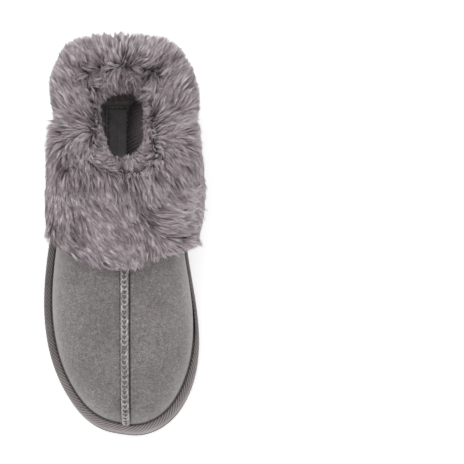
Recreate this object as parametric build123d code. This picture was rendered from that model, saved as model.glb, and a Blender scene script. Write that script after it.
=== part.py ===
"""A closed-back house slipper for the right foot, with a suede vamp, a turned-down faux-fur collar
and a wrapped platform sole. Millimetres, +Z up, toe towards -Y, medial side towards +X, origin on
the floor at the centre of the slipper's footprint."""
from build123d import *
from math import cos, hypot, pi, sin
import os
import numpy as np

os.makedirs("parts", exist_ok=True)

# ---------------------------------------------------------------- driving dimensions
TOE_Y, HEEL_Y = -131.5, 124.5           # the sole's two ends
SOLE_OUTLINE = [                        # the sole's edge, from the toe round the medial side
    (3.2, TOE_Y), (28.6, -124.0), (43.5, -103.0), (49.6, -72.0), (46.5, -38.0), (40.5, 0.0),
    (38.5, 45.0), (37.0, 86.0), (24.5, 115.5), (0.0, HEEL_Y), (-25.5, 115.5), (-39.5, 86.0),
    (-45.0, 45.0), (-50.8, 0.0), (-54.2, -42.0), (-50.8, -74.0), (-38.6, -105.0), (-19.4, -125.6),
]
OUTSOLE_TOP = 4.5
OUTSOLE_INSET = 0.9
TREAD_PITCH, TREAD_GROOVE, TREAD_DEPTH, TREAD_MARGIN = 11.0, 3.2, 1.6, 7.0
PLATFORM_TOP = 17.0                     # the top of the foam platform, where the upper begins
BAND_TOP = 18.2                         # the wrapped band stands a little above the platform
BAND_THICK, BAND_ROUND = 3.2, 1.3
LEDGE = 5.8                             # how far the band stands out past the suede
UPPER_LEAN = 3.8                        # how far the upper's medial side leans out at the waist
LEAN_STARTS, LEAN_FULL = (-108.0, 140.0), (-28.0, 62.0)
LEAN_REACH = 30.0                       # from the middle to where the lean is full
BOARD_THICK, FOAM_THICK, SOCK_THICK = 1.6, 6.0, 1.0
FIT_GAP = 0.1                           # between pieces that are glued face to face
PIPING_RADIUS, PIPING_END_Y = 1.7, -14.0
STITCH_RADIUS, STITCH_PITCH, STITCH_SLANT, STITCH_END = 0.27, 2.9, 10.0, 12.0

SIDE_SEAM_Y = 71.0                      # where the front cuff meets the heel cuffs
VAMP_END_Y = 48.0                       # where the vamp meets the quarters
CUFF_SEAM_X = 10.0                      # where the front cuff's two ends meet over the instep
PUFF_END_Y, COUNTER_START_Y = -90.0, 72.0
COUNTER_TOP = 54.0
SEAM_GAP = 0.15                         # between two edges that are sewn together

# Layers of the upper, as distances outwards from the cavity's surface.
LINING = (0.0, 3.0)
STIFFENER = (3.15, 4.15)
SUEDE = (4.3, 5.6)
CUFF_BACKING = (5.7, 6.8)
FUR_START, FUR_RISE = 6.9, 16.0         # the pile stands on the cloth, up to this over the ridge
FACING_START = -0.2

# The pile is combed out to a fuller, squarer outline than the upper's, and the mouth to a slot.
FUR_OUTLINE = [
    (0.0, -140.0), (34.0, -128.0), (52.0, -98.0), (55.0, -60.0), (52.0, -25.0), (50.5, 10.0),
    (49.0, 45.0), (46.0, 76.0), (43.5, 97.0), (36.5, 113.5), (21.0, 122.5), (0.0, 125.5),
    (-21.0, 123.5), (-37.5, 115.0), (-44.5, 98.0), (-45.5, 76.0), (-49.5, 45.0), (-51.0, 10.0),
    (-53.0, -25.0), (-55.0, -60.0), (-52.0, -98.0), (-34.0, -128.0),
]
FUR_POWER = 3.0
MOUTH_TOP = [(1.0, 37.5), (14.5, 48.0), (17.0, 66.0), (13.5, 84.0), (0.5, 90.5), (-12.5, 84.0),
             (-15.5, 66.0), (-12.5, 48.0)]
MOUTH_FOOT = [(1.0, 16.0), (26.0, 40.0), (28.0, 70.0), (21.0, 95.0), (1.5, 104.0), (-18.0, 95.0),
              (-24.5, 70.0), (-23.0, 40.0)]
MOUTH_LEVELS = (40.0, 88.0)

# The cavity's ridge in side view: (distance behind the cavity's toe, height above the platform).
RIDGE = [(0.0, 0.0), (0.9, 7.0), (4.4, 13.5), (11.9, 19.5), (23.9, 25.0), (41.9, 31.0),
         (63.9, 37.0), (87.9, 43.5), (111.9, 50.5), (135.9, 58.0), (159.9, 66.5), (183.9, 76.0),
         (211.9, 88.0), (251.9, 104.0)]
CAVITY_TOE_Y = TOE_Y + LEDGE + SUEDE[1]
RIDGE_X = 1.6                           # the ridge's place across the sole
ARCH_POWER = 2.35                       # how square the arch over the foot is: 2 is an ellipse
HEEL_LEAN = 0.09                        # the heel's back wall leans forwards by this per mm of height
LEVELS = (0, 5, 10, 15, 20, 26, 32, 38, 44, 50, 56, 62, 69, 76, 84)
FORM_TOP = LEVELS[-1] + PLATFORM_TOP

# Side-view lines (y, z) that cut the upper and its collar, each from front to back.
TOPLINE = [(18.0, 96.0), (26.0, 84.0), (42.0, 73.0), (66.0, 66.0), (92.0, 66.5), (124.0, 71.0)]
FUR_TOPLINE = [(14.0, 110.0), (26.0, 94.0), (44.0, 80.5), (66.0, 73.0), (92.0, 73.5), (140.0, 79.0)]
CUFF_HEM = [(-34.0, 106.0), (-32.0, 80.0), (-27.0, 62.0), (-14.0, 43.0), (6.0, 30.5), (32.0, 27.5),
            (SIDE_SEAM_Y, 29.0)]
HEEL_HEM = [(SIDE_SEAM_Y, 31.0), (100.0, 31.0), (150.0, 32.0)]
FACING_HEM = [(2.0, 104.0), (8.0, 80.0), (24.0, 58.0), (60.0, 45.0), (100.0, 44.0), (140.0, 46.0)]


def ease(share):
    share = np.clip(share, 0, 1)
    return share * share * (3 - 2 * share)


def upper_lean(x, y):
    """How far the upper's medial side is moved out over the sole, most at the waist."""
    front = ease((y - LEAN_STARTS[0]) / (LEAN_FULL[0] - LEAN_STARTS[0]))
    back = ease((y - LEAN_STARTS[1]) / (LEAN_FULL[1] - LEAN_STARTS[1]))
    return UPPER_LEAN * front * back * ease(x / LEAN_REACH)


# ---------------------------------------------------------------- outlines
def closed_curve(points, z=0.0):
    return Edge.make_spline([Vector(x, y, z) for x, y in points], periodic=True)


SOLE_EDGE = closed_curve(SOLE_OUTLINE)


def outline_points(inset, count, edge=SOLE_EDGE):
    """Points round a closed edge, moved inwards, from the toe through the medial side."""
    points = []
    for i in range(count):
        at = edge.position_at(i / count)
        along = edge.tangent_at(i / count)
        points.append((at.X - along.Y * inset, at.Y + along.X * inset))
    return points


def outline_wire(inset, z):
    points = [Vector(x, y, z) for x, y in outline_points(inset, 40)]
    return Wire([Edge.make_spline(points, periodic=True)])


def plate(inset, bottom, top):
    """A flat plate with the sole's outline."""
    return extrude(Face(outline_wire(inset, bottom)), top - bottom, dir=(0, 0, 1))


# ---------------------------------------------------------------- the form
def half_plans(points):
    """A plan outline as two tables of x by y, one for each side, both from toe to heel."""
    toe, heel = points[:, 1].argmin(), points[:, 1].argmax()
    turned = np.roll(points, -toe, axis=0)
    split = (heel - toe) % len(points)
    return turned[: split + 1], np.vstack([turned[split:], turned[:1]])[::-1]


def upper_plans(offset):
    """The upper's own outline at the foot of the surface that lies offset outwards."""
    points = np.array(outline_points(LEDGE + SUEDE[1] - offset, 240))
    points[:, 0] += upper_lean(points[:, 0], points[:, 1])
    return half_plans(points)


RIDGE_CURVE = Edge.make_spline([Vector(0, CAVITY_TOE_Y + back, h) for back, h in RIDGE])


def ridge(offset):
    """The ridge of the surface at the given offset, as rising tables of y and height."""
    rows = []
    for i in range(401):
        at, along = RIDGE_CURVE.position_at(i / 400), RIDGE_CURVE.tangent_at(i / 400)
        rows.append((at.Y - along.Z * offset, at.Z + along.Y * offset))
    table = np.array(rows)
    return np.maximum.accumulate(table[:, 0]), np.maximum.accumulate(table[:, 1])


def even_steps(ring):
    """Spline parameters round a closed ring of points, in step with the distance along it."""
    gaps = np.hypot(*(np.roll(np.array(ring), -1, axis=0) - np.array(ring)).T)
    return [0.0] + list(np.cumsum(gaps) / gaps.sum())


def form(offset):
    """The solid inside the surface that lies offset outwards from the cavity's surface."""
    return stacked(upper_plans(offset), ridge(offset), ARCH_POWER)


def fur_form():
    """The solid inside the pile's combed-out surface."""
    outline = np.array(outline_points(0, 240, closed_curve(FUR_OUTLINE)))
    return stacked(half_plans(outline), ridge(FUR_RISE), FUR_POWER)


def stacked(plans, ridge_line, power):
    """A loft of level contours between a plan outline and a ridge line."""
    medial, lateral = plans
    heel = medial[-1, 1]
    ridge_y, ridge_h = ridge_line
    wires = []
    for level in LEVELS:
        back = heel - HEEL_LEAN * level
        front = medial[0, 1] if level == 0 else np.interp(level, ridge_h, ridge_y)
        turn = np.linspace(0, pi, 17)
        ys = (front + back) / 2 - (back - front) / 2 * np.cos(turn)
        middle = 20.0
        base_ys = np.where(ys > middle, middle + (ys - middle) * (heel - middle) / (back - middle), ys)
        arch = np.maximum(np.interp(ys, ridge_y, ridge_h), 0.01)
        shrink = (1 - np.minimum(level / arch, 1) ** power) ** (1 / power)
        sides = []
        for side in (medial, lateral):
            half = (np.interp(base_ys, side[:, 1], side[:, 0]) - RIDGE_X) * shrink
            sides.append(RIDGE_X + half)
        ends = (0, len(ys) - 1)
        ring = [(RIDGE_X if i in ends else sides[0][i], ys[i]) for i in range(len(ys))]
        ring += [(sides[1][i], ys[i]) for i in range(len(ys) - 2, 0, -1)]
        points = [Vector(x, y, PLATFORM_TOP + level) for x, y in ring]
        steps = steps if wires else even_steps(ring)
        wires.append(Wire([Edge.make_spline(points, periodic=True, parameters=steps)]))
    return Solid.make_loft(wires)


# ---------------------------------------------------------------- cutting helpers
def side_prism(points):
    """A prism across the whole slipper with the given side-view outline of (y, z) points."""
    ring = [Vector(-120, y, z) for y, z in points]
    return extrude(Face(Wire.make_polygon(ring, close=True)), 240, dir=(1, 0, 0))


def between(lower, upper):
    """The prism above one side-view line and below another, both from front to back."""
    return side_prism(list(lower) + list(upper)[::-1])


def below(line, floor=0.0):
    first, last = line[0], line[-1]
    return side_prism([(-200, floor), (-200, first[1]), *line, (200, last[1]), (200, floor)])


def above(line, ceiling=130.0):
    first, last = line[0], line[-1]
    return side_prism([(first[0], ceiling), *line, (200, last[1]), (200, ceiling)])


def slab(bottom, top):
    return Pos(0, 0, (bottom + top) / 2) * Box(400, 500, top - bottom)


def stretch(front, back):
    """Everything between two y values."""
    return Pos(0, (front + back) / 2, 100) * Box(400, back - front, 400)


def beside(x, medial):
    """Everything on one side of the lengthwise plane at x, less half a seam's gap."""
    side = 1 if medial else -1
    return Pos(x + side * (75 + SEAM_GAP / 2), 0, 100) * Box(150, 500, 400)


FORMS = {}


def cached_form(offset):
    if offset not in FORMS:
        FORMS[offset] = form(offset)
    return FORMS[offset]


def layer(span):
    """The whole shell between two distances from the cavity's surface."""
    return cached_form(span[1]) - cached_form(span[0])


# ---------------------------------------------------------------- the sole
def tread_grooves():
    """Slanted grooves across the outsole's underside, mirrored about the slipper's middle."""
    grooves = []
    count = int((HEEL_Y - TOE_Y) / TREAD_PITCH)
    for i in range(1, count):
        y = TOE_Y + i * TREAD_PITCH
        for side in (-1, 1):
            bar = Box(60, TREAD_GROOVE, 2 * TREAD_DEPTH)
            grooves.append(Pos(side * 26, y + 4, 0) * Rot(0, 0, side * 16) * bar)
    return Compound(children=grooves) & plate(TREAD_MARGIN, -5, 5)


def outsole():
    return plate(OUTSOLE_INSET, 0, OUTSOLE_TOP) - tread_grooves()


def platform():
    return plate(BAND_THICK + FIT_GAP, OUTSOLE_TOP + FIT_GAP, PLATFORM_TOP - FIT_GAP)


def sole_band():
    """The wrapped strip round the platform's edge, rounded along its top."""
    bottom = OUTSOLE_TOP + FIT_GAP
    block = plate(0, bottom, BAND_TOP)
    top_edge = block.edges().filter_by_position(Axis.Z, BAND_TOP - 0.01, BAND_TOP + 0.01)
    low_edge = block.edges().filter_by_position(Axis.Z, bottom - 0.01, bottom + 0.01)
    block = fillet(top_edge + low_edge, BAND_ROUND)
    return block - plate(BAND_THICK, bottom - 1, BAND_TOP + 1)


# ---------------------------------------------------------------- the insole
def insole_pieces():
    inside = cached_form(-FIT_GAP)
    pieces = {}
    bottom = PLATFORM_TOP
    for name, thick in (("board", BOARD_THICK), ("foam", FOAM_THICK), ("sock", SOCK_THICK)):
        pieces["insole_" + name] = inside & slab(bottom + FIT_GAP / 2, bottom + thick - FIT_GAP / 2)
        bottom += thick
    return pieces


# ---------------------------------------------------------------- the upper
def upper_pieces():
    """The lining, stiffeners and suede, each cut from its own layer below the topline."""
    inside = below(TOPLINE)
    front = stretch(-200, VAMP_END_Y - SEAM_GAP)
    back = stretch(VAMP_END_Y, 200)
    lining = layer(LINING) & inside
    stiffener = layer(STIFFENER)
    suede = layer(SUEDE) & inside
    return {
        "vamp_lining": lining & front,
        "quarter_lining": lining & back,
        "toe_puff": stiffener & stretch(-200, PUFF_END_Y),
        "heel_counter": stiffener & stretch(COUNTER_START_Y, 200) & slab(0, COUNTER_TOP),
        "vamp_medial": suede & front & beside(RIDGE_X, True),
        "vamp_lateral": suede & front & beside(RIDGE_X, False),
        "quarter_medial": suede & back & beside(RIDGE_X, True),
        "quarter_lateral": suede & back & beside(RIDGE_X, False),
    }


def raised(line, rise):
    return [(y, z + rise) for y, z in line]


def mouth():
    """The way in for the foot between the combed fur: a slot at the top that widens downwards."""
    wires = [Wire([closed_curve(MOUTH_FOOT, MOUTH_LEVELS[0])]),
             Wire([closed_curve(MOUTH_TOP, MOUTH_LEVELS[1])])]
    return Solid.make_loft(wires)


def collar_layers():
    """The collar's base cloth, folded over the topline, and the pile that stands on it outside."""
    over_top = layer((FACING_START + FIT_GAP, CUFF_BACKING[0] + 0.4))
    fold = over_top & between(raised(TOPLINE, 0.2), raised(TOPLINE, 1.2))
    cloth = layer(CUFF_BACKING) & below(raised(TOPLINE, 1.2))
    inner = FACING_START + FIT_GAP
    covered = layer((inner, FUR_START)) & below(raised(TOPLINE, 1.3))
    pile = fur_form() - cached_form(inner) - covered
    return {"cloth": cloth + fold, "pile": pile - mouth()}


def collar_pieces():
    """The fur collar: its base cloth and pile turned down outside, and the pile facing inwards."""
    front = between(CUFF_HEM, [p for p in FUR_TOPLINE if p[0] < SIDE_SEAM_Y] + [(SIDE_SEAM_Y, 73.1)])
    front = front & stretch(-200, SIDE_SEAM_Y - SEAM_GAP)
    heel = above(HEEL_HEM) & below(FUR_TOPLINE) & stretch(SIDE_SEAM_Y, 200)
    pieces = {}
    for material, shell in collar_layers().items():
        front_shell, heel_shell = shell & front, shell & heel
        for side, medial in (("medial", True), ("lateral", False)):
            meeting = beside(CUFF_SEAM_X, medial)
            pieces[f"front_cuff_{material}_{side}"] = front_shell & meeting
            pieces[f"heel_cuff_{material}_{side}"] = heel_shell & beside(RIDGE_X, medial)
    facing = (cached_form(FACING_START) - mouth()) & above(FACING_HEM) & below(FUR_TOPLINE)
    pieces["facing_pile_front"] = facing & stretch(-200, SIDE_SEAM_Y - SEAM_GAP)
    pieces["facing_pile_heel"] = facing & stretch(SIDE_SEAM_Y, 200)
    return pieces


# ---------------------------------------------------------------- the raised centre seam
def seam_path():
    """The line of the centre seam over the suede, from the toe band up to under the cuff."""
    ridge_y, ridge_h = ridge(SUEDE[1] + 0.3)
    heights = np.linspace(3.0, np.interp(PIPING_END_Y, ridge_y, ridge_h), 16)
    ys = np.interp(heights, ridge_h, ridge_y)
    return Edge.make_spline([Vector(RIDGE_X, y, PLATFORM_TOP + h) for y, h in zip(ys, heights)])


def seam_frame(path, at):
    return Plane(origin=path @ at, x_dir=(1, 0, 0), z_dir=path % at)


def seam_piping():
    path = seam_path()
    rings = [seam_frame(path, i / 24) * Circle(PIPING_RADIUS) for i in range(25)]
    tube = Solid.make_loft([ring.wire() for ring in rings])
    return tube - cached_form(SUEDE[1] + FIT_GAP)


def seam_stitches():
    """Slanted threads that cross over the piping one after the other, leaning left and right in turn."""
    path = seam_path()
    count = int(path.length / STITCH_PITCH)
    reach = PIPING_RADIUS / cos(STITCH_SLANT * pi / 180) + STITCH_RADIUS + 0.05
    arc = Rot(0, 0, 180 + STITCH_END) * Torus(reach, STITCH_RADIUS, major_angle=180 - 2 * STITCH_END)
    threads = []
    for i in range(count):
        for lean in (-1, 1):
            at = (i + 0.5 + 0.25 * lean) / count
            threads.append(seam_frame(path, at) * Rot(0, lean * STITCH_SLANT, 0) * arc)
    return threads


def settle(pieces):
    """Move every piece so that the floor's origin lies under the middle of the whole slipper."""
    boxes = [piece.bounding_box() for piece in pieces.values()]
    low = [min(getattr(box.min, axis) for box in boxes) for axis in "XYZ"]
    high = [max(getattr(box.max, axis) for box in boxes) for axis in "XY"]
    shift = Pos(-(low[0] + high[0]) / 2, -(low[1] + high[1]) / 2, -low[2])
    return {name: shift * piece for name, piece in pieces.items()}


def as_one(shape):
    """A single shape that holds only the solids of what a boolean returned."""
    solids = [s for part in (shape if isinstance(shape, list) else [shape]) for s in part.solids()]
    return solids[0] if len(solids) == 1 else Compound(solids)


def main():
    pieces = {"outsole": outsole(), "platform": platform(), "sole_band": sole_band()}
    pieces.update(insole_pieces())
    pieces.update(upper_pieces())
    pieces.update(collar_pieces())
    pieces["vamp_seam_piping"] = seam_piping()
    pieces["vamp_seam_stitches"] = seam_stitches()
    pieces = {name: as_one(piece) for name, piece in pieces.items()}
    for name, piece in settle(pieces).items():
        box = piece.bounding_box()
        print(f"{name:26s} {len(piece.solids()):3d} solids {piece.volume / 1000:8.2f} cm3 "
              f"{box.min.X:7.1f} {box.max.X:7.1f} {box.min.Y:7.1f} {box.max.Y:7.1f} "
              f"{box.min.Z:6.1f} {box.max.Z:6.1f} {'ok' if piece.is_valid else 'INVALID'}")
        export_step(piece, f"parts/{name}.step")


main()
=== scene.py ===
"""The fluffy house slipper: fur strands, suede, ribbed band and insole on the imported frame."""
import bmesh
import bpy
import math
import numpy as np
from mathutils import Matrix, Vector, noise
from mathutils.bvhtree import BVHTree
from mathutils.kdtree import KDTree


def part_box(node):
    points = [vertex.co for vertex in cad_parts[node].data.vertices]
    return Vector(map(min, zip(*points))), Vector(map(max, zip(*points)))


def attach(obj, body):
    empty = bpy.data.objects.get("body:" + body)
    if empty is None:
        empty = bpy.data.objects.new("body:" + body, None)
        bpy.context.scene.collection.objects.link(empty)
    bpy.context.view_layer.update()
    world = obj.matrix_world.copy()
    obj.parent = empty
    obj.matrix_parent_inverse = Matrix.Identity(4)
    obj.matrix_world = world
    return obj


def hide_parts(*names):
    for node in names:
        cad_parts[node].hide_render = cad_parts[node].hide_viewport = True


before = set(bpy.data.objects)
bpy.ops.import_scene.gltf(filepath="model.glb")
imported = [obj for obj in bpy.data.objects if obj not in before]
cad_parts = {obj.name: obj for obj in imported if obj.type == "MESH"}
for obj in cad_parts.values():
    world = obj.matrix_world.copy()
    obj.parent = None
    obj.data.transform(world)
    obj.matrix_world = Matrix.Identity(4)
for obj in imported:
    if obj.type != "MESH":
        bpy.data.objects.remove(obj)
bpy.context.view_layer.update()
MM = 0.001
rng = np.random.default_rng(11)
ELEVATION = math.radians(78)            # the camera's, over the floor
FIELD = 0.310                           # metres across the frame at the slipper's own distance
LENS, SENSOR = 200.0, 36.0              # mm

CUFFS = [(end, side) for end in ("front", "heel") for side in ("medial", "lateral")]
PILES = [f"{end}_cuff_pile_{side}" for end, side in CUFFS] + ["facing_pile_front", "facing_pile_heel"]
CLOTHS = [f"{end}_cuff_cloth_{side}" for end, side in CUFFS]
VAMPS = ["vamp_medial", "vamp_lateral"]
QUARTERS = ["quarter_medial", "quarter_lateral"]
LININGS = ["vamp_lining", "quarter_lining"]


# ---------------------------------------------------------------- small helpers
def unit(v):
    return v / np.maximum(np.linalg.norm(v, axis=-1, keepdims=True), 1e-9)


def new_object(name, mesh):
    obj = bpy.data.objects.new(name, mesh)
    bpy.context.scene.collection.objects.link(obj)
    return obj


def add_piece(name, mesh, material, nodes):
    """A piece in a slot's material that stands for some CAD nodes, or for none."""
    piece = new_object(name, mesh)
    piece.data.materials.append(material)
    if nodes:
        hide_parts(*nodes)
    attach(piece, "root")
    return piece


def mesh_from(name, verts, faces, smooth=True):
    mesh = bpy.data.meshes.new(name)
    mesh.from_pydata([tuple(v) for v in verts], [], [tuple(f) for f in faces])
    mesh.update()
    mesh.polygons.foreach_set("use_smooth", [smooth] * len(mesh.polygons))
    return mesh


def read(collection, key, kind=float):
    values = np.empty(len(collection) * 3, kind)
    collection.foreach_get(key, values)
    return values.reshape(-1, 3)


def mesh_arrays(mesh):
    """A mesh's vertices, their normals and its triangles, in mm."""
    mesh.calc_loop_triangles()
    return (read(mesh.vertices, "co") / MM, read(mesh.vertex_normals, "vector"),
            read(mesh.loop_triangles, "vertices", int))


def node_arrays(names):
    """All vertices (mm) and triangles of some CAD nodes."""
    verts, tris, start = [], [], 0
    for name in names:
        points, _, corners = mesh_arrays(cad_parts[name].data)
        verts.append(points)
        tris.append(corners + start)
        start += len(points)
    return np.vstack(verts), np.vstack(tris)


def tree_of(names):
    """Some CAD nodes, in mm, as a tree to cast rays at."""
    return BVHTree.FromPolygons(*[a.tolist() for a in node_arrays(names)])


# ---------------------------------------------------------------- node materials
class Tree:
    """A short way to write a node material."""

    def __init__(self, name):
        self.mat = bpy.data.materials.new(name)
        self.mat.use_nodes = True
        self.nt = self.mat.node_tree
        self.bsdf = self.nt.nodes["Principled BSDF"]

    def add(self, kind, inputs=None, **props):
        node = self.nt.nodes.new(kind)
        for key, value in props.items():
            setattr(node, key, value)
        for key, value in (inputs or {}).items():
            self.feed(node.inputs[key], value)
        return node

    def feed(self, socket, value):
        if isinstance(value, bpy.types.NodeSocket):
            self.nt.links.new(value, socket)
        else:
            socket.default_value = value

    def math(self, operation, a, b=0.0, c=0.0):
        return self.add("ShaderNodeMath", {0: a, 1: b, 2: c}, operation=operation).outputs[0]

    def noise(self, coords, scale, detail=3.0, rough=0.5):
        inputs = {"Vector": coords, "Scale": scale, "Detail": detail, "Roughness": rough}
        return self.add("ShaderNodeTexNoise", inputs).outputs["Fac"]

    def ramp(self, fac, stops):
        node = self.add("ShaderNodeValToRGB", {"Fac": fac})
        ramp = node.color_ramp
        while len(ramp.elements) < len(stops):
            ramp.elements.new(0.5)
        for element, (at, colour) in zip(ramp.elements, stops):
            element.position = at
            element.color = (*colour, 1.0)
        return node.outputs["Color"]

    def mix(self, fac, a, b, blend="MIX"):
        node = self.add("ShaderNodeMix", data_type="RGBA", blend_type=blend)
        self.feed(node.inputs[0], fac)
        self.feed(node.inputs[6], a if isinstance(a, bpy.types.NodeSocket) else (*a, 1.0))
        self.feed(node.inputs[7], b if isinstance(b, bpy.types.NodeSocket) else (*b, 1.0))
        return node.outputs[2]

    def bump(self, height, strength, distance):
        inputs = {"Height": height, "Strength": strength, "Distance": distance}
        return self.add("ShaderNodeBump", inputs).outputs["Normal"]

    def place(self):
        return self.add("ShaderNodeTexCoord").outputs["Object"]

    def finish(self, **sockets):
        for key, value in sockets.items():
            self.feed(self.bsdf.inputs[key.replace("_", " ")], value)
        return self.mat


def grey(value):
    """An sRGB level from 0 to 255 as a linear one."""
    v = value / 255
    return v / 12.92 if v <= 0.04045 else ((v + 0.055) / 1.055) ** 2.4


def srgb(r, g, b):
    return (grey(r), grey(g), grey(b))


SHADES = 48                             # how many shades the fur's strands come in, dye and painted light and shade together


def fur_material():
    """Fur: the UV map's u picks a strand's shade, with its painted light and shade, and its v runs from
    root to tip; the roots are painted darker, as shade.
    """
    t = Tree("faux_fur")
    uv = t.add("ShaderNodeUVMap", uv_map="OFBake").outputs[0]
    split = t.add("ShaderNodeSeparateXYZ", {0: uv})
    step = t.math("DIVIDE", t.math("FLOOR", t.math("MULTIPLY", split.outputs[0], float(SHADES))),
                  float(SHADES - 1))
    shade = t.ramp(step, [(0.0, srgb(112, 99, 105)), (0.45, srgb(192, 179, 184)),
                          (0.8, srgb(224, 212, 216)), (1.0, srgb(246, 238, 241))])
    # Painted shade: each strand darker towards its root, deep in the coat.
    along = t.ramp(split.outputs[1], [(0.0, (0.20, 0.18, 0.19)), (0.4, (0.56, 0.54, 0.55)),
                                      (0.85, (1.0, 1.0, 1.0)), (1.0, (1.0, 1.0, 1.0))])
    colour = t.mix(1.0, shade, along, "MULTIPLY")
    return t.finish(Base_Color=colour, Roughness=0.62, Specular_IOR_Level=0.28,
                    Sheen_Weight=0.25, Sheen_Roughness=0.4)


def undercoat_material():
    """The woolly undercoat that the strands grow from, painted dark for the shade deep in the pile."""
    t = Tree("fur_undercoat")
    place = t.place()
    colour = t.ramp(t.noise(place, 420.0, 4.0), [(0.3, srgb(58, 49, 53)), (0.7, srgb(96, 85, 90))])
    height = t.noise(place, 900.0, 3.0)
    return t.finish(Base_Color=colour, Roughness=0.95, Normal=t.bump(height, 0.8, 0.0012))


def suede_material(name, base, dark, light):
    """Short-napped suede: a fine speckle, brushed patches and a soft bump."""
    t = Tree(name)
    place = t.place()
    patches = t.noise(place, 38.0, 4.0, 0.6)
    speckle = t.noise(place, 1100.0, 3.0, 0.7)
    nap = t.noise(place, 420.0, 5.0, 0.7)
    mixed = t.math("ADD", t.math("MULTIPLY", patches, 0.35), t.math("MULTIPLY", nap, 0.65))
    colour = t.ramp(mixed, [(0.36, dark), (0.5, base), (0.64, light)])
    fleck = t.ramp(speckle, [(0.36, (0.52, 0.52, 0.52)), (0.64, (1.38, 1.36, 1.36))])
    colour = t.mix(0.8, colour, fleck, "MULTIPLY")
    height = t.math("ADD", t.math("MULTIPLY", nap, 0.6), t.math("MULTIPLY", speckle, 0.4))
    return t.finish(Base_Color=colour, Roughness=0.92, Specular_IOR_Level=0.2,
                    Sheen_Weight=0.35, Sheen_Roughness=0.5, Normal=t.bump(height, 0.35, 0.0005))


def plain_material(name, base, other, roughness, scale=300.0, bump=0.2):
    t = Tree(name)
    place = t.place()
    grain = t.noise(place, scale, 4.0, 0.6)
    colour = t.ramp(grain, [(0.35, other), (0.65, base)])
    return t.finish(Base_Color=colour, Roughness=roughness, Normal=t.bump(grain, bump, 0.0004))


def thread_material():
    """Pale twisted thread: a fine twist along it and a little unevenness in its colour."""
    t = Tree("seam_thread")
    place = t.place()
    twist = t.add("ShaderNodeTexWave", {"Vector": place, "Scale": 900.0, "Distortion": 2.0},
                  bands_direction="DIAGONAL").outputs["Fac"]
    shade = t.noise(place, 260.0, 3.0, 0.6)
    colour = t.ramp(shade, [(0.3, srgb(118, 112, 113)), (0.7, srgb(206, 200, 200))])
    colour = t.mix(0.35, colour, t.ramp(twist, [(0.2, (0.55, 0.55, 0.55)), (0.8, (1.1, 1.1, 1.1))]),
                   "MULTIPLY")
    return t.finish(Base_Color=colour, Roughness=0.7, Normal=t.bump(twist, 0.5, 0.0002))


def band_material():
    """Ribbed textile vinyl: painted shade in the rib valleys with lighter crests, and painted shade along
    its sides; slightly glossy, with fine pores.
    """
    t = Tree("sole_band_vinyl")
    place = t.place()
    patches = t.noise(place, 60.0, 4.0, 0.6)
    pores = t.noise(place, 2200.0, 2.0, 0.6)
    colour = t.ramp(patches, [(0.35, srgb(140, 132, 132)), (0.65, srgb(158, 150, 150))])
    # Painted shade: darker in the rib valleys, lighter on the crests.
    rib = t.add("ShaderNodeAttribute", attribute_name="rib").outputs["Fac"]
    rib_shading = t.ramp(rib, [(0.05, (0.54, 0.53, 0.53)), (0.5, (0.88, 0.88, 0.88)), (0.95, (1.12, 1.12, 1.12))])
    colour = t.mix(1.0, colour, rib_shading, "MULTIPLY")
    # Painted shade: the band darker along its sides towards the heel, lightest at the toe.
    along = t.add("ShaderNodeSeparateXYZ", {0: place}).outputs[1]
    back = t.math("MULTIPLY_ADD", along, 10.0, 1.3)
    toe = t.ramp(back, [(0.03, (1.04, 1.04, 1.04)), (0.1, (0.86, 0.86, 0.86)), (0.35, (0.78, 0.78, 0.78)),
                        (0.85, (0.56, 0.56, 0.56))])
    colour = t.mix(1.0, colour, toe, "MULTIPLY")
    return t.finish(Base_Color=colour, Roughness=0.55, Specular_IOR_Level=0.4,
                    Normal=t.bump(pores, 0.25, 0.0002))


def rubber_material():
    """The outsole's dark rubber: matt, faintly mottled and pebbled."""
    t = Tree("outsole_rubber")
    place = t.place()
    mottle = t.noise(place, 90.0, 4.0, 0.6)
    pebbles = t.add("ShaderNodeTexVoronoi", {"Vector": place, "Scale": 1300.0}).outputs["Distance"]
    colour = t.ramp(mottle, [(0.35, srgb(66, 61, 61)), (0.65, srgb(82, 76, 76))])
    return t.finish(Base_Color=colour, Roughness=0.72, Normal=t.bump(pebbles, 0.35, 0.0003))


def insole_material():
    """Charcoal leatherette with a fine grain, and grey-brown fleece on the heel's strip."""
    t = Tree("insole_leatherette")
    place = t.place()
    grain = t.add("ShaderNodeTexVoronoi", {"Vector": place, "Scale": 1500.0}).outputs["Distance"]
    tone = t.noise(place, 120.0, 4.0, 0.6)
    sock = t.ramp(tone, [(0.35, srgb(122, 119, 120)), (0.65, srgb(140, 137, 138))])
    fleece = t.ramp(t.noise(place, 500.0, 4.0, 0.7),
                    [(0.35, srgb(118, 108, 108)), (0.65, srgb(166, 152, 152))])
    back = t.add("ShaderNodeSeparateXYZ", {0: place}).outputs[1]
    heel = t.math("GREATER_THAN", back, HEEL_STRIP_Y * MM + 0.0006)
    colour = t.mix(heel, sock, fleece)
    return t.finish(Base_Color=colour, Roughness=0.6, Normal=t.bump(grain, 0.4, 0.0003))


# ---------------------------------------------------------------- the fur's skin
MOUTH_MIDDLE = (2.9, 67.5)              # the middle of the way in for the foot
MOUTH_REACH = (30.0, 42.0)              # how far its inner walls lie from there
# How far the fur swells into the mouth beyond the CAD pile, by the angle round its middle.
OVERHANG = [(0, 3.5), (45, 3.0), (90, 2.5), (135, -1.5), (180, 0.5), (225, 2.0), (270, -3.0),
            (315, 1.5), (360, 3.5)]
SINK = 4.2                              # how far the roots lie under the CAD pile outside
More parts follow.
